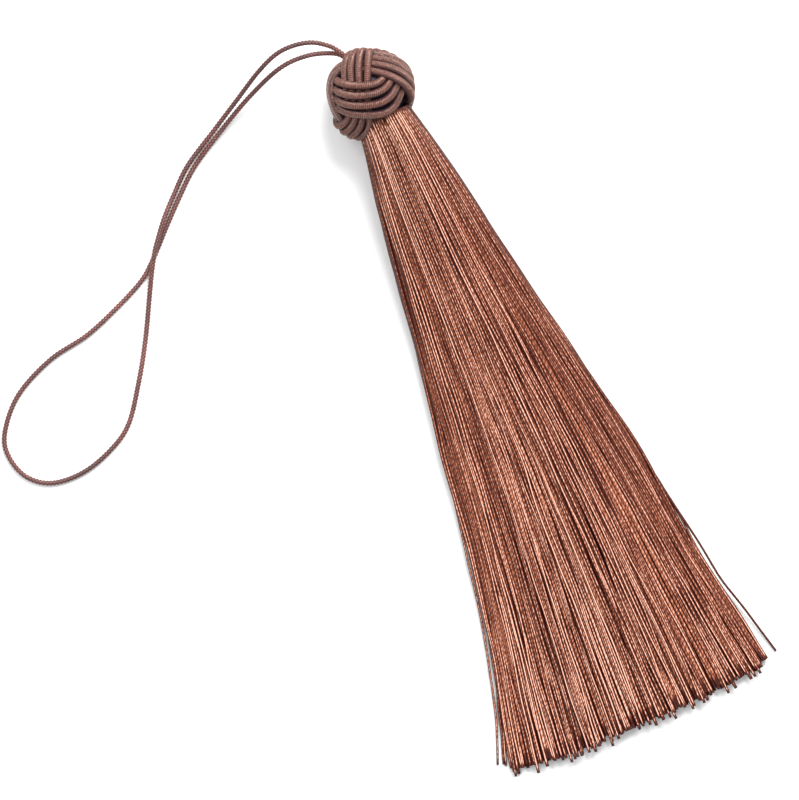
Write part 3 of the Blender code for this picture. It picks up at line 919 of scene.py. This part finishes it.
thread_finish, tree, shader = finish_named("skirt thread silk")
mark = {}
for name in ("run", "top", "side", "bare", "number", "shade", "sunk"):
    mark[name] = mark_of(tree, name)
along = sum_of(tree, "MULTIPLY", mark["run"], SILK_ALONG)
across = sum_of(tree, "MULTIPLY", mark["number"], SILK_ACROSS)
spot = place(tree, "ShaderNodeCombineXYZ", {"X": along, "Y": across, "Z": mark["shade"]}).outputs[0]
slack = noise_of(tree, spot, SLACK_SCALE, detail=1.0)
blotch = noise_of(tree, spot, BLOTCH_SCALE, detail=2.0)
# Painted highlight: bright flecks of glint along the open side of each thread.
glint_fleck = stretched(tree, noise_of(tree, spot, FLECK_SCALE, detail=1.0), *FLECK_RANGE)
around = sum_of(tree, "MULTIPLY", sum_of(tree, "ARCTAN2", mark["top"], mark["side"]), PLIES)
twist = sum_of(tree, "MULTIPLY", mark["run"], 2 * math.pi * PLIES / PLY_LAY)
twist = sum_of(tree, "MULTIPLY_ADD", mark["number"], TWIST_APART, twist)
twist = sum_of(tree, "MULTIPLY_ADD", slack, TWIST_SLACK, twist)
ply = sum_of(tree, "MULTIPLY_ADD", sum_of(tree, "COSINE", sum_of(tree, "SUBTRACT", around, twist)), 0.5, 0.5)
# Painted shade: each thread darkens round from its open side towards its neighbours.
facing_shade = stretched(tree, mark["bare"], *FACING_SHADE_RANGE)
# Painted shade: the colour darkens by the layers of painted shade given to each point.
lit = sum_of(tree, "SUBTRACT", 1.0, sum_of(tree, "MULTIPLY", mark["sunk"], LAYER_DIMS))
mixed = sum_of(tree, "MULTIPLY", mark["shade"], THREAD_TONE)
mixed = sum_of(tree, "MULTIPLY_ADD", ply, PLY_TONE, mixed)
mixed = sum_of(tree, "MULTIPLY_ADD", blotch, BLOTCH_TONE, mixed)
mixed = sum_of(tree, "MULTIPLY_ADD", glint_fleck, FLECK_TONE, mixed)
mixed = sum_of(tree, "MULTIPLY", mixed, sum_of(tree, "MULTIPLY", facing_shade, lit))
coloured(tree, shader, mixed, SILK_TONES)
bumped(tree, shader, ply, strength=0.5, depth=PLY_DEPTH)
all_over(shader, {"Roughness": 0.3, "Specular IOR Level": 0.30, "Specular Tint": (1.0, 0.74, 0.60, 1.0)})


def laid_threads(name, row, width, sides, ring, wander, spin):
    """One piece of the skirt, grown along a row: its lines, shorter, sunk, faces and thickness."""
    lines, shorter, sunk, faces, thickness = row
    chance = random.Random(spin)
    guide = guide_lines(name, lines, number=range(len(lines)), shorter=shorter, sunk=sunk,
                        faces=faces, thickness=thickness, shade=[chance.random() for _ in lines])
    piece = grown(name, guide, thread_tree, {
        "Ring Spacing": ring, "Sides": sides, "Radius": width / 2, "Wander": wander,
        "Wander Length": WANDER_LENGTH, "Seed": spin, "Finish": thread_finish,
    })
    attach(piece, "root")
    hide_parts("skirt")


# The top threads, from one edge of the skirt over to the other as shares of the way round it, in three pieces
# side by side. The loose ones join them at their own edges.
TOP_THREADS = 108
TOP_FROM = 0.21
TOP_TO = 0.79
NECK_LAYERS = 3
TOP_SEED = 11
TOP_THICKNESS = (0.80, 1.12)
TOP_THICKNESS_SEED = 12
LOOSE_THICKNESS = 0.78
TOP_RING = 1.2 * MM
TOP_SIDES = 8
TOP_WANDER = 1.7 * MM
TOP_PIECES = ("right", "middle", "left")
TOP_PIECE_SEED = 20

top_row = [*thread_lines(TOP_THREADS, TOP_FROM, TOP_TO, THREAD_WIDTH / 2, NECK_LAYERS, TOP_SEED)]
chance = random.Random(TOP_THICKNESS_SEED)
top_row.append([chance.uniform(*TOP_THICKNESS) for _ in range(TOP_THREADS)])
for side, dim, route in LOOSE_THREADS:
    place_in_row = len(top_row[0]) if side < 0 else 0
    line = loose_line(side, route)
    loose = (line, 0.0, np.full(len(line), dim), np.zeros(len(line)), LOOSE_THICKNESS)
    for kind, value in zip(top_row, loose):
        kind.insert(place_in_row, value)
for part, title in enumerate(TOP_PIECES):
    first, after = [edge * len(top_row[0]) // len(TOP_PIECES) for edge in (part, part + 1)]
    row = [kind[first:after] for kind in top_row]
    laid_threads(f"skirt_top_{title}", row, THREAD_WIDTH, TOP_SIDES, TOP_RING, TOP_WANDER,
                 TOP_PIECE_SEED + part)

# The threads underneath, in three sets: how many, from where to where round the skirt, how deep in it, their
# seed, and how much deeper in painted shade than their place makes them, in layers.
UNDER_SETS = (
    (70, -0.225, 0.225, 0.4 * MM, 31, -0.5),
    (110, 0.2, 0.8, 0.75 * MM, 32, -1.8),
    (120, 0.0, 1.0, 1.3 * MM, 33, -0.8),
)
UNDER_WIDTH = 0.8 * MM
UNDER_RING = 3.0 * MM
UNDER_SIDES = 6
UNDER_WANDER = 1.0 * MM
UNDER_PIECE_SEED = 40

under_row = [[], [], [], [], []]
for count, place_from, place_to, inset, spin, extra_shade in UNDER_SETS:
    lines, shorter, sunk, faces = thread_lines(count, place_from, place_to, inset, 1, spin)
    sunk = [line + extra_shade for line in sunk]
    for kind, values in zip(under_row, (lines, shorter, sunk, faces, [1.0] * count)):
        kind.extend(values)
laid_threads("skirt_under", under_row, UNDER_WIDTH, UNDER_SIDES, UNDER_RING, UNDER_WANDER,
             UNDER_PIECE_SEED)
